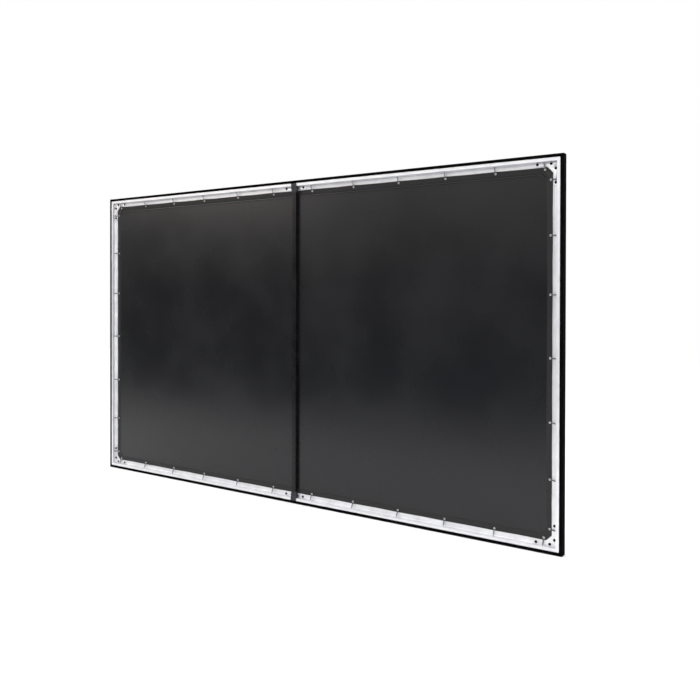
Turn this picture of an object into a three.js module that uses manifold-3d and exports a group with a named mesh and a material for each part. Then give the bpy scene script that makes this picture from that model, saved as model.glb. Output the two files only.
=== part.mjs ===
// A 120 inch 16:9 fixed-frame projection screen.
//
// Six mitred aluminium rails make a rectangle, wrapped in black velvet on the viewing side and
// the outer edge. A projection fabric with crimped eyelets is stretched across the inner lip
// by tension springs, which hook into a slot that runs along the back of every rail.
// Corner brackets and splice plates are screwed to the channel floor, and a support bar stands
// behind the middle, its end caps sliding in the slots of the top and the bottom rail.
//
// Millimetres, +Z up. The viewing side faces -Y and the back faces +Y. Left is -X.
// The origin is on the back plane, in the middle of the edge that the screen hangs by:
// the lower edge of the top rail's raised band.
import * as THREE from "three";
import { mergeVertices } from "three/addons/utils/BufferGeometryUtils.js";
import Module from "manifold-3d";

const wasm = await Module();
wasm.setup();

// ---- Driving dimensions -------------------------------------------------------------------
const VIEW_WIDTH = 2656; // a 16:9 picture with a 120 inch diagonal
const VIEW_HEIGHT = 1494;
const BORDER = 80; // width of the velvet border round the picture
const DEPTH = 40; // back plane to the front outer edge
const BEVEL_DROP = 15; // how much thinner the rail is at its inner edge
const WALL = 1.8;
const GAP = 0.3; // clearance between pieces that touch
const VELVET = 0.7;
const VELVET_BACK = 14; // velvet turned over onto the back
const BAND = 28; // width of the raised band on the back
const FLOOR_DEPTH = 20; // back plane down to the channel floor
const FABRIC_EDGE = 50; // the fabric's cut edge, from the rail's outer edge
const FABRIC_DEPTH = 20.5; // back plane down to the fabric's back face
const FABRIC_EDGE_DEPTH = 18.8; // the same at its cut edge, which the springs lift
const FABRIC_THICK = 0.5;
const CORNER_CUT = 24; // length that the fabric's cut corner takes off each side
const EYELET = { at: 59, radius: 5, hole: 2.6, proud: 0.6 }; // at: from the rail's outer edge
// The springs' places, from the middle of the frame: rightwards, and downwards.
const ACROSS = [-1324, -1106, -867, -625, -374, -125, 125, 374, 625, 867, 1106, 1324];
const DOWN = [-724, -493, -247, 17, 285, 522, 728];
const JOINT = -16; // the halves of the top and bottom rails meet this far from the middle
const BAR_AT = -22; // the bar's place in its slots, from the middle
const BAR_WIDTH = 22;
const BAR_BACK = 3; // back plane down to the bar's back face
const BAR_FRONT = 17;
const BAR_WALL = 1.4;
const BAR_END = 49; // the bar stops this far from the rails' outer edges

// ---- Worked out from them -----------------------------------------------------------------
const WIDTH = VIEW_WIDTH + 2 * BORDER;
const HEIGHT = VIEW_HEIGHT + 2 * BORDER;
const SKIN = VELVET + GAP; // the aluminium lies this far under the velvet's outside
const BEVEL = Math.atan(BEVEL_DROP / BORDER);
const CENTRE_Z = BAND - HEIGHT / 2; // the frame's centre, below the hanging edge

const PLATE_IN = BAND + 0.5; // brackets and splices fill the channel from here
const PLATE_OUT = 45.5; // to here
const SCREW_LINE = (PLATE_IN + PLATE_OUT) / 2;
const SCREW = { head: 6, headHeight: 3, shank: 3, hole: 3.4, tip: 24 }; // radii and depths
const BRACKET_SCREWS = [57, 116]; // along each leg, from the frame's outer corner
const BRACKET_LEG = 128; // length of each leg, from the frame's outer corner
const GUSSET = 31; // the gusset's width past each leg
const SPLICE_SCREWS = [18, 54]; // either side of the joint
const SPLICE_HALF = 68; // half the splice plate's length
const BRACKET_BACK = 15.5; // back plane down to the bracket's face
const SPLICE_BACK = 16.7;
const RIB = { near: 46, far: 48, top: 18.5 }; // low rib along the channel's inner side

const COLOURS = {
  aluminium: { color: 0xd6d7da, roughness: 0.38, metalness: 1 },
  velvet: { color: 0x060607, roughness: 1, metalness: 0 },
  fabric: { color: 0x2c2c2e, roughness: 0.55, metalness: 0 },
  zinc: { color: 0xc9ccd0, roughness: 0.3, metalness: 1 },
  blackPaint: { color: 0x141416, roughness: 0.45, metalness: 0 },
  blackNylon: { color: 0x1d1d20, roughness: 0.6, metalness: 0 },
};
const materials = Object.fromEntries(
  Object.entries(COLOURS).map(([name, look]) => [name, new THREE.MeshStandardMaterial(look)]),
);

// ---- Helpers ------------------------------------------------------------------------------
// A closed geometry as a manifold-3d solid.
function solid(geometry) {
  const bare = geometry.index ? geometry.toNonIndexed() : geometry.clone();
  bare.deleteAttribute("normal");
  bare.deleteAttribute("uv");
  const merged = mergeVertices(bare, 1e-4);
  return new wasm.Manifold(
    new wasm.Mesh({
      numProp: 3,
      vertProperties: merged.attributes.position.array,
      triVerts: new Uint32Array(merged.index.array),
    }),
  );
}

// A manifold-3d solid as a geometry.
function geometryOf(made) {
  const mesh = made.getMesh();
  const points = new Float32Array(mesh.numVert * 3);
  for (let i = 0; i < mesh.numVert; i++) {
    points.set(mesh.vertProperties.subarray(i * mesh.numProp, i * mesh.numProp + 3), i * 3);
  }
  const geometry = new THREE.BufferGeometry();
  geometry.setAttribute("position", new THREE.BufferAttribute(points, 3));
  geometry.setIndex(new THREE.BufferAttribute(mesh.triVerts, 1));
  geometry.computeVertexNormals();
  return geometry;
}

const joined = (solids) => solids.reduce((whole, piece) => whole.add(piece));

function named(name, geometry, material) {
  const mesh = new THREE.Mesh(geometry, material);
  mesh.name = name;
  return mesh;
}

// Every side of the frame is drawn in one side frame: x runs along the side, z runs inwards
// from the outer edge, and depth below the back plane is -y. A section is drawn as
// (inwards, depth) and this turns its extrusion into that frame.
const SIDE_AXES = new THREE.Matrix4().makeBasis(
  new THREE.Vector3(0, 0, 1),
  new THREE.Vector3(0, -1, 0),
  new THREE.Vector3(1, 0, 0),
);

// Extrudes a section along a side from x = start to x = end, with mitred or square ends.
function extrudeAlong(section, start, end, mitreStart = false, mitreEnd = false, curveSegments = 3) {
  const geometry = new THREE.ExtrudeGeometry(section, {
    depth: end - start,
    bevelEnabled: false,
    curveSegments,
  });
  const points = geometry.attributes.position;
  for (let i = 0; i < points.count; i++) {
    const inwards = points.getX(i);
    const atStart = points.getZ(i) < (end - start) / 2;
    const cut = atStart ? (mitreStart ? inwards : 0) : mitreEnd ? -inwards : 0;
    points.setZ(i, points.getZ(i) + start + cut);
  }
  return geometry.applyMatrix4(SIDE_AXES);
}

// A plate drawn as (along x, inwards z), between two depths.
function plate(outline, nearDepth, farDepth, curveSegments = 4) {
  const geometry = new THREE.ExtrudeGeometry(outline, {
    depth: farDepth - nearDepth,
    bevelEnabled: false,
    curveSegments,
  });
  geometry.rotateX(Math.PI / 2);
  return geometry.translate(0, -nearDepth, 0);
}

const polygon = (points) => new THREE.Shape(points.map(([x, y]) => new THREE.Vector2(x, y)));
const rectangle = (x0, y0, x1, y1) => polygon([[x0, y0], [x1, y0], [x1, y1], [x0, y1]]);

// A round bar along the depth direction, at (x, inwards), between two depths.
function post(x, inwards, radius, nearDepth, farDepth, sides) {
  const geometry = new THREE.CylinderGeometry(radius, radius, farDepth - nearDepth, sides);
  return geometry.translate(x, -(nearDepth + farDepth) / 2, inwards);
}

// ---- Rail and velvet sections, drawn as (inwards, depth) -----------------------------------
// The aluminium's front face falls from the outer edge to the inner lip.
const frontDepth = (inwards) => DEPTH - SKIN - inwards * Math.tan(BEVEL);
const backOfFront = (inwards) => frontDepth(inwards) - WALL / Math.cos(BEVEL);
const LIP = BORDER - SKIN;
const LIP_TURN = 5; // velvet turned round the lip onto its back
const CORNER_BACK = 1; // corner radii of the aluminium's outside
const CORNER_FRONT = 3;
const WEB = 53; // inner face of the channel floor's box
// The hook slot runs under the band: its back lip hangs down to the mouth.
const SLOT = { mouth: 3.2, roof: 1.5, floor: 8.4, end: 20, lipThick: 1.6 };

// The outside of the rail, offset outwards: from the back, round the outer edge, down the
// bevelled front to the lip, and round the lip.
function traceSkin(path, offset) {
  const back = CORNER_BACK + offset;
  const front = CORNER_FRONT + offset;
  const backCentre = SKIN + CORNER_BACK;
  const frontCentreIn = SKIN + CORNER_FRONT;
  const frontCentreDepth = frontDepth(frontCentreIn) - CORNER_FRONT / Math.cos(BEVEL);
  path.absarc(backCentre, CORNER_BACK, back, -Math.PI / 2, -Math.PI, true);
  path.absarc(frontCentreIn, frontCentreDepth, front, Math.PI, Math.PI / 2 - BEVEL, true);
  path.lineTo(LIP + offset, frontDepth(LIP + offset) + offset / Math.cos(BEVEL));
  path.lineTo(LIP + offset, backOfFront(LIP + offset) - offset / Math.cos(BEVEL));
}

function railSection() {
  const section = new THREE.Shape();
  section.moveTo(BAND, SLOT.mouth);
  section.lineTo(BAND, 0);
  traceSkin(section, 0);
  section.lineTo(WEB, backOfFront(WEB));
  section.lineTo(WEB, FLOOR_DEPTH);
  section.lineTo(RIB.far, FLOOR_DEPTH);
  section.lineTo(RIB.far, RIB.top);
  section.lineTo(RIB.near, RIB.top);
  section.lineTo(RIB.near, FLOOR_DEPTH);
  section.lineTo(BAND, FLOOR_DEPTH);
  section.lineTo(BAND, SLOT.floor);
  section.lineTo(SLOT.end, SLOT.floor);
  section.lineTo(SLOT.end, SLOT.roof);
  section.lineTo(BAND - SLOT.lipThick, SLOT.roof);
  section.lineTo(BAND - SLOT.lipThick, SLOT.mouth);
  const outer = SKIN + WALL;
  section.holes.push(
    polygon([
      [outer, WALL],
      [SLOT.end - WALL, WALL],
      [SLOT.end - WALL, SLOT.floor + WALL],
      [BAND - WALL, SLOT.floor + WALL],
      [BAND - WALL, FLOOR_DEPTH + WALL],
      [WEB - WALL, FLOOR_DEPTH + WALL],
      [WEB - WALL, backOfFront(WEB - WALL)],
      [outer, backOfFront(outer)],
    ]),
  );
  return section;
}

function velvetSection() {
  const section = new THREE.Shape();
  const inside = new THREE.Path();
  const turn = LIP - LIP_TURN;
  section.moveTo(VELVET_BACK, -GAP);
  section.lineTo(VELVET_BACK, -SKIN);
  traceSkin(section, SKIN);
  section.lineTo(turn, backOfFront(turn) - SKIN / Math.cos(BEVEL));
  traceSkin(inside, GAP);
  inside.lineTo(turn, backOfFront(turn) - GAP / Math.cos(BEVEL));
  for (const point of inside.getPoints(3).reverse()) {
    section.lineTo(point.x, point.y);
  }
  return section;
}

// A whole or half rail, with clearance holes for its screws, and its velvet.
function rail(name, start, end, mitres, screws) {
  const ends = [start + GAP / 2, end - GAP / 2];
  const drills = screws.map((x) =>
    solid(post(x, SCREW_LINE, SCREW.hole, FLOOR_DEPTH - 1, FLOOR_DEPTH + WALL + 1, 8)),
  );
  const bar = solid(extrudeAlong(railSection(), ...ends, ...mitres)).subtract(joined(drills));
  return [
    named(name, geometryOf(bar), materials.aluminium),
    named(`${name}_velvet`, extrudeAlong(velvetSection(), ...ends, ...mitres), materials.velvet),
  ];
}

// ---- Fasteners ----------------------------------------------------------------------------
// A button-head screw: its head stands on the plate and its shank goes through the channel floor.
function screw(x, inwards, plateBack) {
  const head = post(x, inwards, SCREW.head, plateBack - SCREW.headHeight, plateBack + 0.5, 12);
  return [solid(head), solid(post(x, inwards, SCREW.shank, plateBack, SCREW.tip, 8))];
}

// The corner bracket lies in both channels, with its legs along x and z from the outer corner.
// Its gusset passes over the ribs. Its four screws are turned tight into it.
function cornerBracket() {
  const face = polygon([
    [PLATE_IN, PLATE_IN],
    [BRACKET_LEG, PLATE_IN],
    [BRACKET_LEG, PLATE_OUT],
    [PLATE_OUT + GUSSET, PLATE_OUT],
    [PLATE_OUT, PLATE_OUT + GUSSET],
    [PLATE_OUT, BRACKET_LEG],
    [PLATE_IN, BRACKET_LEG],
  ]);
  const legs = polygon([
    [PLATE_IN, PLATE_IN],
    [BRACKET_LEG, PLATE_IN],
    [BRACKET_LEG, PLATE_OUT],
    [PLATE_OUT, PLATE_OUT],
    [PLATE_OUT, BRACKET_LEG],
    [PLATE_IN, BRACKET_LEG],
  ]);
  const under = RIB.top - GAP;
  const pieces = [
    solid(plate(face, BRACKET_BACK, under)),
    solid(plate(legs, under - 0.5, FLOOR_DEPTH - GAP)),
  ];
  for (const along of BRACKET_SCREWS) {
    pieces.push(...screw(along, SCREW_LINE, BRACKET_BACK));
    pieces.push(...screw(SCREW_LINE, along, BRACKET_BACK));
  }
  return geometryOf(joined(pieces));
}

// The splice plate bridges the joint between two half rails.
function splicePlate() {
  const outline = rectangle(-SPLICE_HALF, PLATE_IN, SPLICE_HALF, PLATE_OUT);
  const pieces = [solid(plate(outline, SPLICE_BACK, FLOOR_DEPTH - GAP))];
  for (const offset of SPLICE_SCREWS) {
    pieces.push(...screw(offset, SCREW_LINE, SPLICE_BACK));
    pieces.push(...screw(-offset, SCREW_LINE, SPLICE_BACK));
  }
  return geometryOf(joined(pieces));
}

// ---- Tension spring, drawn at x = 0 of a side ----------------------------------------------
const WIRE = 0.6; // radii
const COIL = 2.9;
const at = (inwards, depth) => new THREE.Vector3(0, -depth, inwards);

function wire(points) {
  const route = new THREE.CatmullRomCurve3(points, false, "catmullrom", 0.3);
  const sides = 5;
  const section = polygon(
    Array.from({ length: sides }, (_, i) => {
      const angle = (i * 2 * Math.PI) / sides;
      return [WIRE * Math.cos(angle), WIRE * Math.sin(angle)];
    }),
  );
  return new THREE.ExtrudeGeometry(section, { steps: points.length, extrudePath: route });
}

// The coil is a plain barrel here, with a hook in the rail's slot and a hook in the eyelet.
function tensionSpring() {
  const coilStart = at(32, 6.4);
  const coilEnd = at(51, 14.2);
  const barrel = new THREE.CylinderGeometry(COIL, COIL, coilStart.distanceTo(coilEnd), 6);
  const middle = coilStart.clone().add(coilEnd).multiplyScalar(0.5);
  const along = coilEnd.clone().sub(coilStart).normalize();
  barrel.applyQuaternion(new THREE.Quaternion().setFromUnitVectors(new THREE.Vector3(0, 1, 0), along));
  barrel.translate(middle.x, middle.y, middle.z);
  const slotHook = wire([at(25.2, 2.7), at(25.2, 4.4), at(28.5, 4.6), at(33, 6.8)]);
  const eyeletHook = wire([at(50, 13.8), at(57.5, 16.6), at(59.6, 18.4), at(59, 21.2), at(56.2, 21.8)]);
  return geometryOf(joined([solid(barrel), solid(slotHook), solid(eyeletHook)]));
}

// ---- Projection fabric ---------------------------------------------------------------------
// Flat across the picture, lifted towards the springs from the rail's lip outwards, with cut
// corners and an eyelet for each spring. The eyelets are crimped in and belong to it.
function projectionFabric() {
  const sheet = new THREE.BoxGeometry(3, 1, 3, 3, 1, 3);
  const points = sheet.attributes.position;
  const place = (cell, size) => {
    const inset = Math.abs(cell) > 1 ? FABRIC_EDGE : BORDER;
    return Math.sign(cell) * (size / 2 - inset);
  };
  for (let i = 0; i < points.count; i++) {
    const x = points.getX(i);
    const z = points.getZ(i);
    const isEdge = Math.abs(x) > 1 || Math.abs(z) > 1;
    const depth = isEdge ? FABRIC_EDGE_DEPTH : FABRIC_DEPTH;
    const isFront = points.getY(i) < 0;
    points.setXYZ(i, place(x, WIDTH), -depth - (isFront ? FABRIC_THICK : 0), place(z, HEIGHT));
  }
  const rise = (FABRIC_DEPTH - FABRIC_EDGE_DEPTH) / (BORDER - FABRIC_EDGE);
  const back = FABRIC_EDGE_DEPTH + rise * (EYELET.at - FABRIC_EDGE);
  const front = back + FABRIC_THICK;
  const eyelets = [];
  const holes = [];
  const halfUp = HEIGHT / 2 - EYELET.at;
  const halfAcross = WIDTH / 2 - EYELET.at;
  const places = [
    ...ACROSS.flatMap((x) => [[x, halfUp], [x, -halfUp]]),
    ...DOWN.flatMap((down) => [[halfAcross, -down], [-halfAcross, -down]]),
  ];
  for (const [x, z] of places) {
    eyelets.push(solid(post(x, z, EYELET.radius, back - EYELET.proud, front + EYELET.proud, 8)));
    holes.push(solid(post(x, z, EYELET.hole, back - 3, front + 3, 6)));
  }
  const corner = (WIDTH - 2 * FABRIC_EDGE) / 2;
  const cornerUp = (HEIGHT - 2 * FABRIC_EDGE) / 2;
  for (const sx of [-1, 1]) {
    for (const sz of [-1, 1]) {
      const knife = new THREE.CylinderGeometry(CORNER_CUT, CORNER_CUT, 20, 4);
      holes.push(solid(knife.translate(sx * corner, -FABRIC_DEPTH, sz * cornerUp)));
    }
  }
  return geometryOf(joined([solid(sheet), ...eyelets]).subtract(joined(holes)));
}

// ---- Support bar and its end caps ------------------------------------------------------------
function supportBar() {
  const tube = (width, back, front) => rectangle(-width / 2, -front, width / 2, -back);
  const section = tube(BAR_WIDTH, BAR_BACK, BAR_FRONT);
  section.holes.push(tube(BAR_WIDTH - 2 * BAR_WALL, BAR_BACK + BAR_WALL, BAR_FRONT - BAR_WALL));
  const length = HEIGHT - 2 * BAR_END;
  const geometry = new THREE.ExtrudeGeometry(section, { depth: length, bevelEnabled: false });
  return geometry.translate(0, 0, -length / 2);
}

// The cap grips the rail's back lip between a foot on the band and a tongue in the slot, and
// holds the bar's end between two cheeks. It is drawn in the side frame.
function barEndCap() {
  const half = 15.5;
  const foot = { start: 14.5, end: 30, back: -3.3 }; // its back face stands behind the back plane
  const cheek = { start: 36, end: 60, back: 1.2 };
  const underside = 13.2; // clears the splice plate's screws
  const tongueTip = SLOT.end + 2 * GAP;
  const side = polygon([
    [foot.start, foot.back],
    [foot.end, foot.back],
    [cheek.start, cheek.back],
    [cheek.end, cheek.back],
    [cheek.end, BAR_FRONT],
    [BAR_END - 3, BAR_FRONT],
    [BAR_END - 3, underside],
    [BAND + GAP, underside],
    [BAND + GAP, SLOT.floor - GAP],
    [tongueTip, SLOT.floor - GAP],
    [tongueTip, SLOT.mouth + GAP],
    [BAND + GAP, SLOT.mouth + GAP],
    [BAND + GAP, -GAP],
    [foot.start, -GAP],
  ]);
  const block = solid(extrudeAlong(side, -half, half));
  const room = BAR_WIDTH / 2 + GAP;
  const socket = plate(
    rectangle(-room, BAR_END - GAP, room, cheek.end + 1),
    BAR_BACK - GAP,
    BAR_FRONT + 1,
  );
  return geometryOf(block.subtract(solid(socket)));
}

// ---- Assembly ------------------------------------------------------------------------------
// A side group holds what is drawn in the side frame. Its turn about Y puts it on its side:
// 0 is the bottom, half a turn the top, a quarter turn the left.
const TURNS = { bottom: 0, top: Math.PI, left: Math.PI / 2, right: -Math.PI / 2 };
const isAcross = (side) => side === "top" || side === "bottom";
const alongSide = (side, place) => (side === "bottom" || side === "left" ? place : -place);

function sideGroup(side) {
  const group = new THREE.Group();
  const reach = (isAcross(side) ? HEIGHT : WIDTH) / 2;
  group.rotation.y = TURNS[side];
  group.position.set(-Math.sin(TURNS[side]) * reach, 0, -Math.cos(TURNS[side]) * reach);
  return group;
}

const frame = new THREE.Group();
frame.position.z = CENTRE_Z;
const sides = Object.fromEntries(Object.keys(TURNS).map((side) => [side, sideGroup(side)]));
frame.add(...Object.values(sides));

const halfWidth = WIDTH / 2;
const halfHeight = HEIGHT / 2;
for (const side of ["top", "bottom"]) {
  const [first, second] = side === "bottom" ? ["left", "right"] : ["right", "left"];
  const joint = alongSide(side, JOINT);
  for (const [half, end] of [[first, -1], [second, 1]]) {
    const screws = [
      ...BRACKET_SCREWS.map((along) => end * (halfWidth - along)),
      ...SPLICE_SCREWS.map((along) => joint + end * along),
    ];
    const [start, stop] = end < 0 ? [-halfWidth, joint] : [joint, halfWidth];
    sides[side].add(...rail(`${side}_rail_${half}`, start, stop, [end < 0, end > 0], screws));
  }
  const splice = named(`splice_plate_${side}`, splicePlate(), materials.aluminium);
  splice.position.x = joint;
  sides[side].add(splice);
}
for (const side of ["left", "right"]) {
  const screws = BRACKET_SCREWS.flatMap((along) => [halfHeight - along, along - halfHeight]);
  sides[side].add(...rail(`${side}_rail`, -halfHeight, halfHeight, [true, true], screws));
}

// Each bracket sits at the start of a side: its legs run along that side and the one before.
const bracketGeometry = cornerBracket();
const BRACKET_AT = {
  bottom: "bottom_left",
  right: "bottom_right",
  top: "top_right",
  left: "top_left",
};
for (const [side, corner] of Object.entries(BRACKET_AT)) {
  const bracket = named(`corner_bracket_${corner}`, bracketGeometry, materials.aluminium);
  bracket.position.x = -(isAcross(side) ? halfWidth : halfHeight);
  sides[side].add(bracket);
}

// Springs are numbered from the left, or from the top, as seen from the viewing side.
const springGeometry = tensionSpring();
for (const side of Object.keys(TURNS)) {
  const places = isAcross(side) ? ACROSS : DOWN;
  places.forEach((place, i) => {
    const number = String(i + 1).padStart(2, "0");
    const spring = named(`tension_spring_${side}_${number}`, springGeometry, materials.zinc);
    spring.position.x = alongSide(side, place);
    sides[side].add(spring);
  });
}

frame.add(named("projection_fabric", projectionFabric(), materials.fabric));
const bar = named("support_bar", supportBar(), materials.blackPaint);
bar.position.x = BAR_AT;
frame.add(bar);
const capGeometry = barEndCap();
for (const side of ["top", "bottom"]) {
  const cap = named(`bar_end_cap_${side}`, capGeometry, materials.blackNylon);
  cap.position.x = alongSide(side, BAR_AT);
  sides[side].add(cap);
}

const screen = new THREE.Group();
screen.add(frame);
export default screen;
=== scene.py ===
"""A 120 inch fixed-frame projection screen, seen from behind. Metres, +Z up, back towards +Y.

The rails, the support bar and its end caps are the frame's own solids, with edges eased and
materials given. The velvet, fabric, eyelets, springs, brackets, splice plates and screws are
made here, where the solids say that they are.
"""
from math import atan, cos, exp, hypot, pi, radians, sin, tan

import bmesh
import bpy
from mathutils import Matrix, Vector, noise


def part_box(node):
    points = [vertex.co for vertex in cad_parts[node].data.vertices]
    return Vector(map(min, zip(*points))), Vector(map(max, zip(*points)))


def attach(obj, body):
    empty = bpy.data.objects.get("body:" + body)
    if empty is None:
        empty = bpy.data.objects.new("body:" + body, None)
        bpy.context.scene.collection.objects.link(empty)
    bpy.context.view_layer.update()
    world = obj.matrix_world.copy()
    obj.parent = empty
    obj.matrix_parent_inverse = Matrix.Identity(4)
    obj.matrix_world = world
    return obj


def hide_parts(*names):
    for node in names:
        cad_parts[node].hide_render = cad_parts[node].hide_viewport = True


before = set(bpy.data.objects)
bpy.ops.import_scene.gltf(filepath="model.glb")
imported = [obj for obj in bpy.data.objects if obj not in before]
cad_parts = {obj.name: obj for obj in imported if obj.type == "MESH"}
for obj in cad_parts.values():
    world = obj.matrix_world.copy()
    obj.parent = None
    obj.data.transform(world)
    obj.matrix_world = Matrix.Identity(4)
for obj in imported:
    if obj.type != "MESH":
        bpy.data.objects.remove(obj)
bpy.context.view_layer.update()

MM = 0.001

# ---- Sizes, in millimetres -----------------------------------------------------------------
# Each side of the frame is worked on in its own side frame: x runs along the side, inwards is
# measured from the frame's outer edge, and depth from the aluminium's back plane.
LEFT_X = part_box("left_rail_velvet")[0].x
RIGHT_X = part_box("right_rail_velvet")[1].x
WIDTH = (RIGHT_X - LEFT_X) / MM
HEIGHT = (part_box("top_rail_left_velvet")[1].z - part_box("bottom_rail_left_velvet")[0].z) / MM
FABRIC_LOW, FABRIC_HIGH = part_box("projection_fabric")
CENTRE = Vector(((RIGHT_X + LEFT_X) / 2, 0, FABRIC_LOW.z / 2 + FABRIC_HIGH.z / 2))
FLOOR_Z = CENTRE.z - HEIGHT * MM / 2 - 0.0015  # just below the frame, so that they don't touch

BORDER = 80
FRAME_DEPTH = 40
BEVEL = atan(15 / BORDER)
WALL = 1.8
GAP = 0.3
VELVET = 0.7
SKIN = VELVET + GAP
VELVET_BACK = 14  # width of velvet turned over onto the back
LIP_TURN = 5  # width of velvet turned in behind the inner lip
FRONT_ROUND = 3  # radii of the rail's outer edges
BACK_ROUND = 1

FABRIC_EDGE = 50
FABRIC_THICK = 0.5
FABRIC_FIELD_DEPTH = 20.5
FABRIC_LIFT = 1.7  # how far the springs lift the cut edge
CORNER_CUT = 24
SCALLOP = 0.8  # how far the edge draws in between two springs
HEM = 23  # width of the welded hem
HEM_THICK = 0.35
WELD_AT = FABRIC_EDGE + HEM - 2.2  # middle of the hem's pressed weld, from the rail's outer edge
WELD_DENT = 0.12
LIP_FOLD = 0.25  # how far the fabric lifts and dips where it bends over the rail's lip
PUCKER = 0.22  # how far a spring lifts the fabric round its eyelet
HALF_SPACING = 125  # half the usual distance between two springs
EYELET_AT = 59
EYELET_HOLE = 3.0  # radii of the holes
PLATE_HOLE = 3.4

PLATE_IN = 28.5
PLATE_OUT = 45.5
SCREW_LINE = (PLATE_IN + PLATE_OUT) / 2
BRACKET_SCREWS = (57, 116)
SPLICE_SCREWS = (-54, -18, 18, 54)
BRACKET_BACK = 15.5
SPLICE_BACK = 16.7
CHANNEL_FLOOR = 19.7
JOINT = -16  # where the halves of the top and bottom rails meet, rightwards from the middle

# The springs' places, from the middle of the frame: rightwards, and downwards.
ACROSS = (-1324, -1106, -867, -625, -374, -125, 125, 374, 625, 867, 1106, 1324)
DOWN = (-724, -493, -247, 17, 285, 522, 728)
TURNS = {"bottom": 0.0, "top": pi, "left": pi / 2, "right": -pi / 2}


def is_across(side):
    return side in ("top", "bottom")


def along_side(side, place):
    """A place measured rightwards or downwards, as x in the side frame."""
    return place if side in ("bottom", "left") else -place


def side_length(side):
    return WIDTH if is_across(side) else HEIGHT


def side_frame(side, along=0.0):
    """The matrix that puts a side frame's millimetre point, moved along, into the row frame."""
    reach = (HEIGHT if is_across(side) else WIDTH) / 2
    turn = Matrix.Rotation(TURNS[side], 4, "Y")
    return (Matrix.Translation(CENTRE) @ turn @ Matrix.Translation((along * MM, 0, -reach * MM)))


def point(x, inwards, depth):
    return Vector((x * MM, -depth * MM, inwards * MM))


def spring_places(side):
    """Where a side's springs stand along its x, in order from the left or from the top."""
    return [along_side(side, place) for place in (ACROSS if is_across(side) else DOWN)]


# ---- Materials -----------------------------------------------------------------------------
def linear(code):
    """A linear colour from sRGB hex such as "d8d9db"."""
    channels = [int(code[i:i + 2], 16) / 255 for i in (0, 2, 4)]
    return (*[c / 12.92 if c <= 0.04045 else ((c + 0.055) / 1.055) ** 2.4 for c in channels], 1)


def add(tree, kind, inputs=None, **settings):
    """Adds a shader node, sets its settings, and feeds its inputs with values or sockets."""
    made = tree.nodes.new(kind)
    for name, value in settings.items():
        setattr(made, name, value)
    for name, value in (inputs or {}).items():
        if isinstance(value, bpy.types.NodeSocket):
            tree.links.new(value, made.inputs[name])
        else:
            made.inputs[name].default_value = value
    return made


def start_material(name, **shader_inputs):
    """A new material with a Principled shader, whose plain numbers are set on its sockets."""
    material = bpy.data.materials.new(name)
    material.use_nodes = True
    tree = material.node_tree
    tree.nodes.clear()
    inputs = {key.replace("_", " "): value for key, value in shader_inputs.items()}
    shader = add(tree, "ShaderNodeBsdfPrincipled", inputs)
    add(tree, "ShaderNodeOutputMaterial", {"Surface": shader.outputs["BSDF"]})
    return material, tree, shader


def pattern(tree, size_mm, detail=3.0, roughness=0.5):
    """A noise in the piece's own space. size_mm is its grain in x, y and z."""
    place = add(tree, "ShaderNodeTexCoord").outputs["Object"]
    scaled = add(tree, "ShaderNodeMapping", {"Vector": place, "Scale": [1 / (s * MM) for s in size_mm]})
    return add(tree, "ShaderNodeTexNoise", {
        "Vector": scaled.outputs["Vector"], "Scale": 1.0, "Detail": detail, "Roughness": roughness,
    }).outputs["Fac"]


def between(tree, factor, low, high, from_low=0.35, from_high=0.65):
    """Spreads a value between two numbers. A noise mostly stays between 0.35 and 0.65."""
    return add(tree, "ShaderNodeMapRange", {
        "Value": factor, "From Min": from_low, "From Max": from_high, "To Min": low, "To Max": high,
    }).outputs["Result"]


def tint(tree, factor, dark, light):
    """Spreads a noise between two colours."""
    ramp = add(tree, "ShaderNodeValToRGB", {"Fac": factor})
    ramp.color_ramp.elements[0].position = 0.34
    ramp.color_ramp.elements[0].color = linear(dark)
    ramp.color_ramp.elements[1].position = 0.66
    ramp.color_ramp.elements[1].color = linear(light)
    return ramp.outputs["Color"]


def mix(tree, factor, first, second):
    """Mixes two colours. The Mix node's colour sockets are its inputs 6 and 7 and its output 2."""
    inputs = {0: factor, 6: first, 7: second}
    return add(tree, "ShaderNodeMix", inputs, data_type="RGBA").outputs[2]


def relief(tree, shader, height, depth_mm, strength=1.0, under=None):
    """Gives the shader a bump of that depth, over another bump if there is one."""
    inputs = {"Height": height, "Distance": depth_mm * MM, "Strength": strength}
    if under is not None:
        inputs["Normal"] = under
    bump = add(tree, "ShaderNodeBump", inputs).outputs["Normal"]
    tree.links.new(bump, shader.inputs["Normal"])
    return bump


def extruded_aluminium(name, along):
    """Mill-finish 6063 extrusion: die lines run its whole length and blur the light across them.
    Real die lines are 0.1 to 0.3 mm apart, and are drawn 0.7 mm apart so that they show."""
    material, tree, shader = start_material(name, Metallic=1.0)
    lines = pattern(tree, [600 if axis == along else 0.7 for axis in "xyz"], detail=2)
    bands = pattern(tree, [900 if axis == along else 6 for axis in "xyz"], detail=2)
    clouds = pattern(tree, (55, 55, 55), detail=4)
    handled = tint(tree, clouds, "e2e3e6", "f0f1f2")
    banded = mix(tree, between(tree, bands, 0.0, 0.45), handled, linear("d2d4d8"))
    tree.links.new(banded, shader.inputs["Base Color"])
    tree.links.new(between(tree, lines, 0.46, 0.6), shader.inputs["Roughness"])
    relief(tree, shader, lines, 0.02, 0.5)
    return material


def tumbled_plate():
    """Sheared and tumbled aluminium plate: short grain every way and softer than the rails."""
    material, tree, shader = start_material("tumbled_aluminium_plate", Metallic=1.0)
    grain = pattern(tree, (1.1, 1.1, 1.1), detail=5, roughness=0.65)
    tree.links.new(tint(tree, grain, "dcdde0", "ecedef"), shader.inputs["Base Color"])
    tree.links.new(between(tree, grain, 0.34, 0.52), shader.inputs["Roughness"])
    relief(tree, shader, grain, 0.03, 0.4)
    return material


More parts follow.
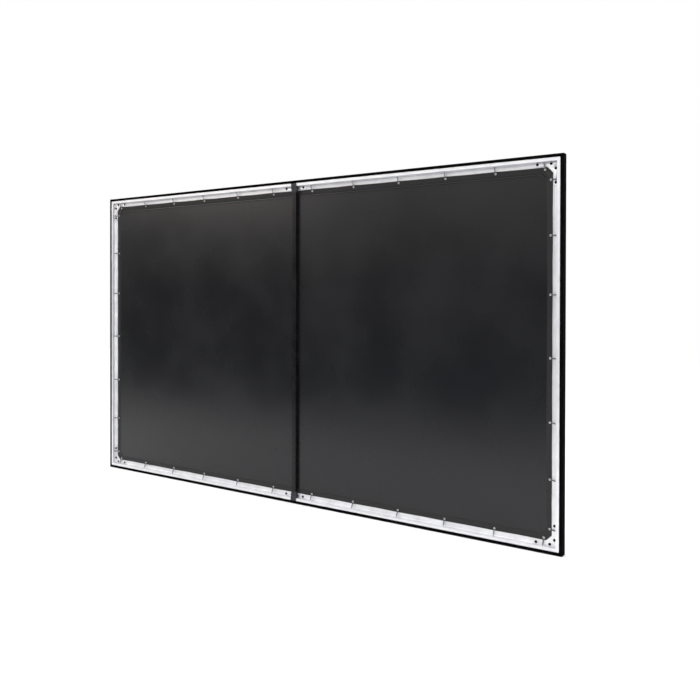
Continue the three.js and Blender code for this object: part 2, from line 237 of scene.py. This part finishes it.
def pile_velvet():
    """Black flocked velvet: it swallows light, with a faint sheen where the nap turns.
    The real pile is 0.1 mm across, and is drawn 0.6 mm across so that it shows."""
    material, tree, shader = start_material(
        "black_pile_velvet", Roughness=1.0, Specular_IOR_Level=0.02,
        Sheen_Weight=0.02, Sheen_Roughness=0.5, Sheen_Tint=linear("44444a"))
    pile = pattern(tree, (0.6, 0.6, 0.6), detail=2)
    nap = pattern(tree, (70, 24, 24), detail=3)
    tree.links.new(tint(tree, nap, "030304", "08080a"), shader.inputs["Base Color"])
    under = relief(tree, shader, nap, 0.25, 0.5)
    relief(tree, shader, pile, 0.18, 0.8, under)
    return material


def coated_backing(name, dark, light, gloss):
    """Black PVC coating on the fabric's back: satin, with the knit under it showing faintly.
    The knit is 0.5 mm, and is drawn 1.6 mm so that it shows."""
    material, tree, shader = start_material(name, Specular_IOR_Level=0.44)
    knit = pattern(tree, (1.6, 1.6, 1.6), detail=1)
    coating = pattern(tree, (420, 420, 420), detail=3)
    tree.links.new(tint(tree, coating, dark, light), shader.inputs["Base Color"])
    tree.links.new(between(tree, coating, gloss - 0.03, gloss + 0.04), shader.inputs["Roughness"])
    relief(tree, shader, knit, 0.02, 0.35)
    return material


def matte_white_surface():
    """Matte white PVC projection surface: embossed with a fine even grain so that it never shines."""
    material, tree, shader = start_material("matte_white_pvc", Roughness=0.92, Specular_IOR_Level=0.25)
    grain = pattern(tree, (1.2, 1.2, 1.2), detail=3)
    tree.links.new(tint(tree, grain, "e6e6e4", "efefed"), shader.inputs["Base Color"])
    relief(tree, shader, grain, 0.05, 0.5)
    return material


def zinc_wire():
    """Zinc-plated spring steel: mid grey, and a little mottled by the passivation."""
    material, tree, shader = start_material("zinc_plated_wire", Metallic=1.0)
    mottle = pattern(tree, (2.5, 2.5, 2.5), detail=3)
    tree.links.new(tint(tree, mottle, "55585d", "8d9196"), shader.inputs["Base Color"])
    tree.links.new(between(tree, mottle, 0.22, 0.38), shader.inputs["Roughness"])
    relief(tree, shader, mottle, 0.01, 0.3)
    return material


def nickel_eyelet():
    """Nickel-plated brass eyelet, rolled: smooth and pale, and duller where it was crimped."""
    material, tree, shader = start_material("nickel_plated_eyelet", Metallic=1.0)
    wear = pattern(tree, (3, 3, 3), detail=4)
    tree.links.new(tint(tree, wear, "a8a9a8", "dedddb"), shader.inputs["Base Color"])
    tree.links.new(between(tree, wear, 0.25, 0.42), shader.inputs["Roughness"])
    relief(tree, shader, wear, 0.02, 0.3)
    return material


def black_oxide():
    """Black-oxide steel screw: near black, oily, and greyer where the key has rubbed it."""
    material, tree, shader = start_material("black_oxide_steel", Specular_IOR_Level=0.08)
    rub = pattern(tree, (1.5, 1.5, 1.5), detail=4)
    tree.links.new(tint(tree, rub, "030303", "070708"), shader.inputs["Base Color"])
    tree.links.new(between(tree, rub, 0.5, 0.65), shader.inputs["Roughness"])
    relief(tree, shader, rub, 0.02, 0.4)
    return material


def powder_coat():
    """Satin black powder coat: the orange peel is 1.5 mm across and barely breaks the highlight."""
    material, tree, shader = start_material("satin_black_powder_coat", Specular_IOR_Level=0.27)
    peel = pattern(tree, (1.5, 1.5, 1.5), detail=1)
    dust = pattern(tree, (60, 60, 60), detail=4)
    tree.links.new(tint(tree, dust, "0a0a0b", "101011"), shader.inputs["Base Color"])
    tree.links.new(between(tree, dust, 0.24, 0.32), shader.inputs["Roughness"])
    relief(tree, shader, peel, 0.04, 0.45)
    return material


def moulded_nylon():
    """Black glass-filled nylon, injection moulded: a fine spark texture keeps it dull."""
    material, tree, shader = start_material("moulded_black_nylon", Specular_IOR_Level=0.4)
    spark = pattern(tree, (0.8, 0.8, 0.8), detail=3)
    flow = pattern(tree, (14, 14, 14), detail=2)
    tree.links.new(tint(tree, flow, "17171a", "232327"), shader.inputs["Base Color"])
    tree.links.new(between(tree, flow, 0.5, 0.62), shader.inputs["Roughness"])
    relief(tree, shader, spark, 0.05, 0.6)
    return material


def pale_floor():
    """Pale studio vinyl: nearly white, with the faintest clouding."""
    material, tree, shader = start_material("pale_studio_floor", Roughness=0.7, Specular_IOR_Level=0.2)
    clouds = pattern(tree, (500, 500, 500), detail=2)
    tree.links.new(tint(tree, clouds, "f3f3f3", "f6f6f6"), shader.inputs["Base Color"])
    return material


ALUMINIUM_ACROSS = extruded_aluminium("extruded_aluminium_across", "x")
ALUMINIUM_UP = extruded_aluminium("extruded_aluminium_up", "z")
PLATE = tumbled_plate()
PILE = pile_velvet()
BACKING = coated_backing("black_pvc_backing", "0c0d10", "101114", 0.27)
HEM_BACKING = coated_backing("black_pvc_hem", "09090a", "0d0d0e", 0.5)
WHITE_FACE = matte_white_surface()
ZINC = zinc_wire()
EYELET = nickel_eyelet()
OXIDE = black_oxide()
COAT = powder_coat()
NYLON = moulded_nylon()
FLOOR = pale_floor()


# ---- Mesh helpers --------------------------------------------------------------------------
def mesh_of(name, points, faces, materials, sharp=40, indices=None):
    """A mesh with its faces turned outwards, smooth but for edges sharper than that angle."""
    mesh = bpy.data.meshes.new(name)
    mesh.from_pydata(points, [], faces)
    for material in materials:
        mesh.materials.append(material)
    if indices:
        mesh.polygons.foreach_set("material_index", indices)
    shell = bmesh.new()
    shell.from_mesh(mesh)
    bmesh.ops.recalc_face_normals(shell, faces=shell.faces)
    shell.to_mesh(mesh)
    shell.free()
    mesh.shade_smooth()
    mesh.set_sharp_from_angle(angle=radians(sharp))
    return mesh


def place(name, mesh, where, slot):
    """A new piece of the frame, in the scene at that matrix."""
    obj = bpy.data.objects.new(name, mesh)
    bpy.context.scene.collection.objects.link(obj)
    obj.matrix_world = where
    bpy.context.view_layer.update()
    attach(obj, "root")
    return obj


def ease_edges(obj, width_mm, segments=2):
    """Rounds the sharp edges, as a real part's are."""
    bevel = obj.modifiers.new("eased_edges", "BEVEL")
    bevel.width = width_mm * MM
    bevel.segments = segments
    bevel.limit_method = "ANGLE"
    bevel.angle_limit = radians(40)
    bevel.harden_normals = False


def rings_to_faces(rings, count, closed_rings=False):
    """Quads between neighbouring rings of count points each."""
    faces = []
    last = rings if closed_rings else rings - 1
    for ring in range(last):
        here, there = ring * count, (ring + 1) % rings * count
        for i in range(count):
            j = (i + 1) % count
            faces.append((here + i, here + j, there + j, there + i))
    return faces


def lathe(rings, segments, centre_ends=True):
    """Points and faces of a turned solid. A ring is (radius, height), or a radius that depends
    on the angle; the first and last rings close on the axis."""
    points = []
    for radius, height in rings:
        for i in range(segments):
            angle = 2 * pi * i / segments
            r = radius(angle) if callable(radius) else radius
            points.append(Vector((r * cos(angle), height, r * sin(angle))) * MM)
    faces = rings_to_faces(len(rings), segments, closed_rings=not centre_ends)
    if centre_ends:
        for ring in (0, len(rings) - 1):
            centre = len(points)
            points.append(Vector((0, rings[ring][1], 0)) * MM)
            for i in range(segments):
                faces.append((ring * segments + i, ring * segments + (i + 1) % segments, centre))
    return points, faces


# ---- Rails ---------------------------------------------------------------------------------
RAILS = {
    "top_rail_left": "top", "top_rail_right": "top",
    "bottom_rail_left": "bottom", "bottom_rail_right": "bottom",
    "left_rail": "left", "right_rail": "right",
}


def finish_node(node, material, easing_mm, segments=2):
    """Gives one of the frame's own solids its material and its eased edges."""
    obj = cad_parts[node]
    obj.data.materials.clear()
    obj.data.materials.append(material)
    ease_edges(obj, easing_mm, segments)


for rail, side in RAILS.items():
    finish_node(rail, ALUMINIUM_ACROSS if is_across(side) else ALUMINIUM_UP, 0.25)


# ---- Velvet --------------------------------------------------------------------------------
def front_depth(inwards):
    """Depth of the rail's bevelled front face."""
    return FRAME_DEPTH - SKIN - inwards * tan(BEVEL)


def back_of_front(inwards):
    """Depth of the inside of that front wall."""
    return front_depth(inwards) - WALL / cos(BEVEL)


def arc(inwards, depth, radius, start, end, steps):
    """Points along an arc round that centre, in the side frame's section."""
    return [
        (inwards + radius * cos(start + (end - start) * i / steps),
         depth + radius * sin(start + (end - start) * i / steps))
        for i in range(steps + 1)
    ]


def velvet_line(offset):
    """The line round the rail at that offset: back edge, outer side, front, lip and its turn."""
    lip, turn = BORDER - SKIN, BORDER - SKIN - LIP_TURN
    front_in = SKIN + FRONT_ROUND
    front_centre = front_depth(front_in) - FRONT_ROUND / cos(BEVEL)
    away = offset / cos(BEVEL)
    return [
        (VELVET_BACK, -offset),
        *arc(SKIN + BACK_ROUND, BACK_ROUND, BACK_ROUND + offset, -pi / 2, -pi, 5),
        *arc(front_in, front_centre, FRONT_ROUND + offset, pi, pi / 2 - BEVEL, 8),
        (lip + offset, front_depth(lip + offset) + away),
        (lip + offset, back_of_front(lip + offset) - away),
        (turn, back_of_front(turn) - away),
    ]


def velvet_skin(rail, side):
    """The velvet glued round a rail: one thin cloth, its cut edge a little uneven on the back."""
    start, end = -side_length(side) / 2, side_length(side) / 2
    mitres = [1, 1]
    if is_across(side):
        joint = along_side(side, JOINT)
        if rail.endswith("left") == (side == "bottom"):
            end, mitres[1] = joint, 0
        else:
            start, mitres[0] = joint, 0
    start, end = start + GAP / 2, end - GAP / 2
    outside, inside = velvet_line(SKIN), velvet_line(GAP)
    outline = outside + inside[::-1]
    steps = round((end - start) / 14)  # a ring of points every 14 mm
    points = []
    for step in range(steps + 1):
        share = step / steps
        for index, (inwards, depth) in enumerate(outline):
            x_start = start + mitres[0] * inwards
            x = x_start + (end - mitres[1] * inwards - x_start) * share
            at_cut = index in (0, len(outline) - 1)
            ragged = 0.5 * noise.noise(Vector((x * 0.06, TURNS[side] * 9, 0))) if at_cut else 0
            points.append(point(x, inwards + ragged, depth))
    count = len(outline)
    faces = rings_to_faces(steps + 1, count)
    faces += [tuple(range(count)), tuple(range(steps * count, (steps + 1) * count))]
    mesh = mesh_of(f"{rail}_velvet_cloth", points, faces, [PILE], sharp=50)
    skin = place(f"{rail}_velvet_cloth", mesh, side_frame(side), "velvet")
    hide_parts(f"{rail}_velvet")


for rail, side in RAILS.items():
    velvet_skin(rail, side)


# ---- Projection fabric -----------------------------------------------------------------------
def swell(at, middle, width):
    """A smooth hump, 1 high at its middle."""
    return exp(-((at - middle) / width) ** 2)


def fabric_back(inwards, to_spring):
    """How deep the fabric's back lies: lifted by the springs outside the rail's lip, thicker in
    the hem, dented at the hem's weld, and bent over the lip."""
    lift = FABRIC_LIFT * max(0.0, min(1.0, (BORDER - inwards) / (BORDER - FABRIC_EDGE)))
    fold = LIP_FOLD * (swell(inwards, BORDER + 0.5, 1.8) - swell(inwards, BORDER - 4, 1.8))
    hem = HEM_THICK if inwards < FABRIC_EDGE + HEM else 0.0
    dent = WELD_DENT if abs(inwards - WELD_AT) < 0.6 else 0.0
    pucker = PUCKER * exp(-to_spring / 28) * swell(inwards, EYELET_AT, 14)
    return FABRIC_FIELD_DEPTH - lift - fold - hem + dent - pucker


def along_samples(side, half):
    """Sample places along a side, 12 mm apart and closer together at each spring."""
    count = round(2 * half / 12)
    even = [-half + 2 * half * i / count for i in range(count + 1)]
    near = [at + d for at in spring_places(side) for d in (-6, -3, 0, 3, 6)]
    far = [x for x in even if min(abs(x - n) for n in near) > 4]
    return sorted(far + near)


# Insets of the fabric's rings of points, from its cut edge, past the weld and the hem's inner
# edge, and over the rail's lip to the flat field.
FABRIC_INSETS = (0, 1, 2.5, *range(5, 14, 2), 16, 19, 20.2, 21, 22.6, 22.9, *range(24, 33), 33.5, 36, 50)


def fabric_sheet():
    """The stretched sheet: black behind with a welded hem, matte white in front."""
    half_x, half_z = WIDTH / 2 - FABRIC_EDGE, HEIGHT / 2 - FABRIC_EDGE
    runs = []
    for side, half in (("bottom", half_x), ("right", half_z), ("top", half_x), ("left", half_z)):
        reach = half - CORNER_CUT
        inner = [x for x in along_samples(side, reach) if abs(x) < reach - 3]
        runs.append((side, [-reach, *inner, reach], reach))

    def ring(inset):
        """One closed ring, counted round from the bottom's left end."""
        made = []
        for side, places, reach in runs:
            springs = spring_places(side)
            shrink = (reach - inset) / reach
            for x in places:
                to_spring = min(abs(x - s) for s in springs)
                phase = min(1.0, to_spring / HALF_SPACING)
                drawn_in = SCALLOP * sin(pi / 2 * phase) ** 2 * (1 - inset / FABRIC_INSETS[-1])
                inwards = FABRIC_EDGE + inset + drawn_in
                local = point(x * shrink, inwards, 0)
                depth = fabric_back(FABRIC_EDGE + inset, to_spring)
                made.append((side_frame(side) @ local, depth))
        return made

    rings = [ring(inset) for inset in FABRIC_INSETS]
    count = len(rings[0])
    points, faces, indices = [], [], []
    for layer in (0, 1):
        for inset, row in zip(FABRIC_INSETS, rings):
            for spot, depth in row:
                hem = HEM_THICK if inset < HEM else 0.0
                y = -depth * MM if layer == 0 else -(depth + FABRIC_THICK + hem) * MM
                points.append(Vector((spot.x, y, spot.z)))
    layer_size = len(rings) * count
    for layer in (0, 1):
        base = layer * layer_size
        for face in rings_to_faces(len(rings), count):
            faces.append(tuple(base + i for i in face))
            in_hem = FABRIC_INSETS[face[0] // count] < HEM - 0.2
            indices.append(2 if layer else (1 if in_hem else 0))
        last = base + layer_size - count
        faces.append(tuple(range(last, last + count)))
        indices.append(2 if layer else 0)
    for i in range(count):
        j = (i + 1) % count
        faces.append((i, j, layer_size + j, layer_size + i))
        indices.append(1)
    mesh = mesh_of("projection_sheet", points, faces, [BACKING, HEM_BACKING, WHITE_FACE], 35, indices)
    return place("projection_sheet", mesh, Matrix.Identity(4), "screen_fabric")


def eyelet_mesh():
    """A rolled eyelet: one flattened ring through the fabric, 10 mm across."""
    turn = [2 * pi * i / 14 for i in range(14)]
    points, faces = lathe([(3.8 + 1.2 * cos(a), 0.9 * sin(a)) for a in turn], 28, centre_ends=False)
    return mesh_of("eyelet", points, faces, [EYELET])


def punch_holes(obj, spots, radius, material):
    """Cuts a round hole through the piece, front to back, at each of the given places."""
    points, faces = [], []
    tool, tool_faces = lathe([(radius, -12), (radius, 12)], 20)
    for spot in spots:
        faces += [tuple(i + len(points) for i in face) for face in tool_faces]
        points += [spot @ p for p in tool]
    punch = bpy.data.objects.new("punch", mesh_of("punch", points, faces, [material]))
    bpy.context.scene.collection.objects.link(punch)
    cut = obj.modifiers.new("holes", "BOOLEAN")
    cut.object = punch
    cut.solver = "EXACT"
    bpy.context.view_layer.update()
    obj.data = bpy.data.meshes.new_from_object(obj.evaluated_get(bpy.context.evaluated_depsgraph_get()))
    obj.modifiers.clear()
    bpy.data.objects.remove(punch)


def fit_fabric():
    """The fabric sheet with its punched holes, and its eyelets."""
    sheet = fabric_sheet()
    mesh = eyelet_mesh()
    eyelets, spots = [], []
    middle = fabric_back(EYELET_AT, 0) + (FABRIC_THICK + HEM_THICK) / 2
    for side in TURNS:
        for number, x in enumerate(spring_places(side), 1):
            where = side_frame(side) @ Matrix.Translation(point(x, EYELET_AT, middle))
            eyelets.append(place(f"eyelet_{side}_{number:02d}", mesh, where, "spring_zinc"))
            spots.append(where)
    punch_holes(sheet, spots, EYELET_HOLE, HEM_BACKING)
    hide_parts("projection_fabric")


fit_fabric()


# ---- Springs ---------------------------------------------------------------------------------
def spring_route():
    """The wire's centre line: slot hook, coil, eyelet hook, in the side frame at x = 0."""
    coil_start, coil_end = point(0, 32, 6.4), point(0, 51, 14.2)
    axis = (coil_end - coil_start).normalized()
    across = Vector((1, 0, 0))
    up = axis.cross(across)
    coil_radius = 2.3 * MM
    turns, per_turn = 11, 14
    slot_hook = [point(0, *p) for p in ((25.2, 2.5), (25.2, 3.6), (25.8, 4.5), (27.6, 4.6), (29.6, 5.0))]
    coil = []
    for i in range(turns * per_turn + 1):
        angle = 2 * pi * i / per_turn
        centre = coil_start.lerp(coil_end, i / (turns * per_turn))
        coil.append(centre + coil_radius * (up * cos(angle) + across * sin(angle)))
    eyelet_hook = [point(0, *p) for p in (
        (53.5, 15.0), (56.5, 16.2), (58.8, 17.4), (60.0, 19.0), (59.7, 20.6), (58.4, 21.7), (56.8, 21.9))]
    return slot_hook + coil + eyelet_hook


def wire_mesh(name, route, radius_mm, sides, material):
    """A round wire along a route, its section carried without twist."""
    points = []
    normal = Vector((1, 0, 0))
    for i, spot in enumerate(route):
        heading = (route[min(i + 1, len(route) - 1)] - route[max(i - 1, 0)]).normalized()
        normal = (normal - heading * normal.dot(heading)).normalized()
        other = heading.cross(normal)
        for k in range(sides):
            angle = 2 * pi * k / sides
            points.append(spot + radius_mm * MM * (normal * cos(angle) + other * sin(angle)))
    faces = rings_to_faces(len(route), sides)
    faces += [tuple(range(sides)), tuple(range((len(route) - 1) * sides, len(route) * sides))]
    return mesh_of(name, points, faces, [material], sharp=60)


SPRING = wire_mesh("tension_spring_wire", spring_route(), 0.6, 7, ZINC)
for side in TURNS:
    for number, x in enumerate(spring_places(side), 1):
        spring = place(f"spring_{side}_{number:02d}", SPRING, side_frame(side, x), "spring_zinc")
        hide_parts(f"tension_spring_{side}_{number:02d}")


# ---- Brackets, splice plates and screws --------------------------------------------------------
def hexagon(angle):
    """Radius of the screw's 4 mm hexagon socket at that angle."""
    return 2 / cos((angle % (pi / 3)) - pi / 6)


def screw_mesh():
    """A button-head screw with a hexagon socket. Its seat is at height 0 and its head at +."""
    rings = [
        (hexagon, 1.1), (hexagon, 2.8), (2.5, 3.0), (3.6, 2.8), (4.7, 2.2), (5.5, 1.4), (5.95, 0.6),
        (6.0, 0.0), (3.0, 0.0), (3.0, -7.3),
    ]
    points, faces = lathe(rings, 24)
    return mesh_of("button_head_screw", points, faces, [OXIDE], sharp=35)


def bracket_mesh():
    """The corner bracket: two legs in the channels, and a gusset that passes over the ribs."""
    leg, gusset = 128, PLATE_OUT + 31
    corners = {
        "heel": (PLATE_IN, PLATE_IN), "x_end": (leg, PLATE_IN), "x_toe": (leg, PLATE_OUT),
        "x_web": (gusset, PLATE_OUT), "crotch": (PLATE_OUT, PLATE_OUT), "z_web": (PLATE_OUT, gusset),
        "z_toe": (PLATE_OUT, leg), "z_end": (PLATE_IN, leg),
    }
    depths = {"back": BRACKET_BACK, "under": 18.2, "foot": CHANNEL_FLOOR}
    used = [("back", c) for c in corners if c != "crotch"]
    used += [("foot", c) for c in corners]
    used += [("under", c) for c in ("x_web", "crotch", "z_web")]
    index = {key: i for i, key in enumerate(used)}
    points = [point(*corners[corner], depths[level]) for level, corner in used]

    def face(*keys):
        return tuple(index[key] for key in keys)

    def wall(a, b):
        return face(("back", a), ("back", b), ("foot", b), ("foot", a))

    faces = [
        face(*[("back", c) for c in corners if c != "crotch"]),
        face(*[("foot", c) for c in corners]),
        face(("under", "x_web"), ("under", "crotch"), ("under", "z_web")),
        face(("back", "x_web"), ("back", "z_web"), ("under", "z_web"), ("under", "x_web")),
        face(("under", "x_web"), ("under", "crotch"), ("foot", "crotch"), ("foot", "x_web")),
        face(("under", "crotch"), ("under", "z_web"), ("foot", "z_web"), ("foot", "crotch")),
        wall("heel", "x_end"), wall("x_end", "x_toe"), wall("z_toe", "z_end"), wall("z_end", "heel"),
        face(("back", "x_toe"), ("back", "x_web"), ("under", "x_web"), ("foot", "x_web"),
             ("foot", "x_toe")),
        face(("back", "z_web"), ("back", "z_toe"), ("foot", "z_toe"), ("foot", "z_web"),
             ("under", "z_web")),
    ]
    return mesh_of("corner_bracket_plate", points, faces, [PLATE])


def splice_mesh():
    """The splice plate: a flat bar with rounded corners."""
    half, radius = 68, 2.5
    right, left = half - radius, radius - half
    outer, inner = PLATE_OUT - radius, PLATE_IN + radius
    corners = []
    for turn, (x, inwards) in enumerate(((right, outer), (left, outer), (left, inner), (right, inner))):
        corners += arc(x, inwards, radius, turn * pi / 2, (turn + 1) * pi / 2, 4)
    count = len(corners)
    points = [point(x, i, d) for d in (SPLICE_BACK, CHANNEL_FLOOR) for x, i in corners]
    faces = rings_to_faces(2, count) + [tuple(range(count)), tuple(range(count, 2 * count))]
    return mesh_of("splice_plate_bar", points, faces, [PLATE])


def drive_screw(name, side, x, inwards, seat):
    """A screw in the side frame, its head's seat at that depth."""
    place(name, SCREW, side_frame(side) @ Matrix.Translation(point(x, inwards, seat)), "screw_black")


def drill(mesh, spots):
    """The mesh with a screw's clearance hole at each (x, inwards)."""
    blank = bpy.data.objects.new("blank", mesh)
    bpy.context.scene.collection.objects.link(blank)
    places = [Matrix.Translation(point(x, inwards, CHANNEL_FLOOR - 2)) for x, inwards in spots]
    punch_holes(blank, places, PLATE_HOLE, PLATE)
    drilled = blank.data
    bpy.data.objects.remove(blank)
    return drilled


SCREW = screw_mesh()
BRACKET_SPOTS = [(along, SCREW_LINE) for along in BRACKET_SCREWS]
BRACKET_SPOTS += [(SCREW_LINE, along) for along in BRACKET_SCREWS]
BRACKET = drill(bracket_mesh(), BRACKET_SPOTS)
SPLICE = drill(splice_mesh(), [(x, SCREW_LINE) for x in SPLICE_SCREWS])
CORNERS = {"bottom": "bottom_left", "right": "bottom_right", "top": "top_right", "left": "top_left"}
for side, corner in CORNERS.items():
    start = -side_length(side) / 2
    plate = place(f"corner_plate_{corner}", BRACKET, side_frame(side, start), "bracket_aluminium")
    ease_edges(plate, 0.4)
    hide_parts(f"corner_bracket_{corner}")
    for number, (x, inwards) in enumerate(BRACKET_SPOTS, 1):
        drive_screw(f"corner_screw_{corner}_{number}", side, start + x, inwards, BRACKET_BACK)

for side in ("top", "bottom"):
    joint = along_side(side, JOINT)
    plate = place(f"splice_bar_{side}", SPLICE, side_frame(side, joint), "bracket_aluminium")
    ease_edges(plate, 0.4)
    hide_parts(f"splice_plate_{side}")
    for number, x in enumerate(SPLICE_SCREWS, 1):
        drive_screw(f"splice_screw_{side}_{number}", side, joint + x, SCREW_LINE, SPLICE_BACK)


# ---- Support bar -------------------------------------------------------------------------------
finish_node("support_bar", COAT, 2.4, 5)
for side in ("top", "bottom"):
    finish_node(f"bar_end_cap_{side}", NYLON, 0.8, 3)


# ---- Studio --------------------------------------------------------------------------------------
# The room behind the screen, from the ground up: level, sRGB colour and strength.
ROOM_LEVELS = (
    (-1.0, "f4f7ff", 0.9), (-0.16, "eef3ff", 0.3), (-0.08, "eaf0ff", 0.05), (0.02, "f0f2ff", 0.05),
    (0.12, "fff8f2", 0.7), (0.3, "fffaf6", 1.7), (1.0, "ffffff", 1.5),
)


def studio_floor():
    half, back = 9.0, 2.0
    outline = ((-half, -half), (half, -half), (half, back), (-half, back))
    mesh = bpy.data.meshes.new("studio_floor")
    mesh.from_pydata([Vector((x, y, FLOOR_Z)) for x, y in outline], [], [(0, 1, 2, 3)])
    mesh.materials.append(FLOOR)
    floor = bpy.data.objects.new("studio_floor", mesh)
    bpy.context.scene.collection.objects.link(floor)


def studio_world():
    """A plain white backdrop, seen from anywhere. The light is white in front of the screen's
    viewing side. Behind it, where the fabric's satin back mirrors the room, it is dark at eye
    level, and bright and a little warm higher up."""
    world = bpy.data.worlds.new("studio_world")
    bpy.context.scene.world = world
    world.use_nodes = True
    tree = world.node_tree
    tree.nodes.clear()
    direction = add(tree, "ShaderNodeTexCoord").outputs["Generated"]
    parts = add(tree, "ShaderNodeSeparateXYZ", {"Vector": direction})
    height = between(tree, parts.outputs["Z"], 0.0, 1.0, -1.0, 1.0)
    room = add(tree, "ShaderNodeValToRGB", {"Fac": height})
    ramp = room.color_ramp
    while len(ramp.elements) < len(ROOM_LEVELS):
        ramp.elements.new(1.0)
    for element, (level, code, strength) in zip(ramp.elements, ROOM_LEVELS):
        element.position = (level + 1) / 2
        element.color = (*[channel * strength for channel in linear(code)[:3]], 1)
    behind = between(tree, parts.outputs["Y"], 0.0, 1.0, -0.1, 0.3)
    white = (1, 1, 1, 1)
    colour = mix(tree, behind, white, room.outputs["Color"])
    seen = add(tree, "ShaderNodeLightPath").outputs["Is Camera Ray"]
    glow = add(tree, "ShaderNodeBackground", {"Color": mix(tree, seen, colour, white), "Strength": 1.0})
    add(tree, "ShaderNodeOutputWorld", {"Surface": glow.outputs["Background"]})


def softbox(name, location, target, size, power, code):
    """A rectangular light turned towards its target."""
    light = bpy.data.lights.new(name, "AREA")
    light.shape = "RECTANGLE"
    light.size, light.size_y = size
    light.energy = power
    light.color = linear(code)[:3]
    box = bpy.data.objects.new(name, light)
    bpy.context.scene.collection.objects.link(box)
    box.location = location
    box.visible_camera = False
    box.rotation_euler = (Vector(target) - Vector(location)).to_track_quat("-Z", "Y").to_euler()


def camera():
    """Behind the screen, near its left edge, and a little above its middle."""
    lens = bpy.data.cameras.new("camera")
    lens.sensor_width = 36
    lens.lens = 37.65
    lens.shift_y = -0.0744
    lens.clip_end = 60
    view = bpy.data.objects.new("camera", lens)
    bpy.context.scene.collection.objects.link(view)
    view.location = (-2.317, 2.979, CENTRE.z + 0.2535)
    view.rotation_euler = (radians(89.596), radians(-0.115), radians(213.21))
    bpy.context.scene.camera = view


studio_floor()
studio_world()
camera()
softbox("key_softbox", (3.4, 3.0, 1.1), (0, 0, CENTRE.z), (2.0, 1.2), 17, "fff4ea")
softbox("side_softbox", (-4.6, 2.3, -0.6), (0, 0, CENTRE.z), (0.5, 3.0), 110, "ffffff")
softbox("floor_softbox", (0.3, 0.6, 2.6), (0.2, -0.3, FLOOR_Z), (4.0, 4.0), 80, "eef2ff")
bpy.context.scene.view_settings.view_transform = "Standard"
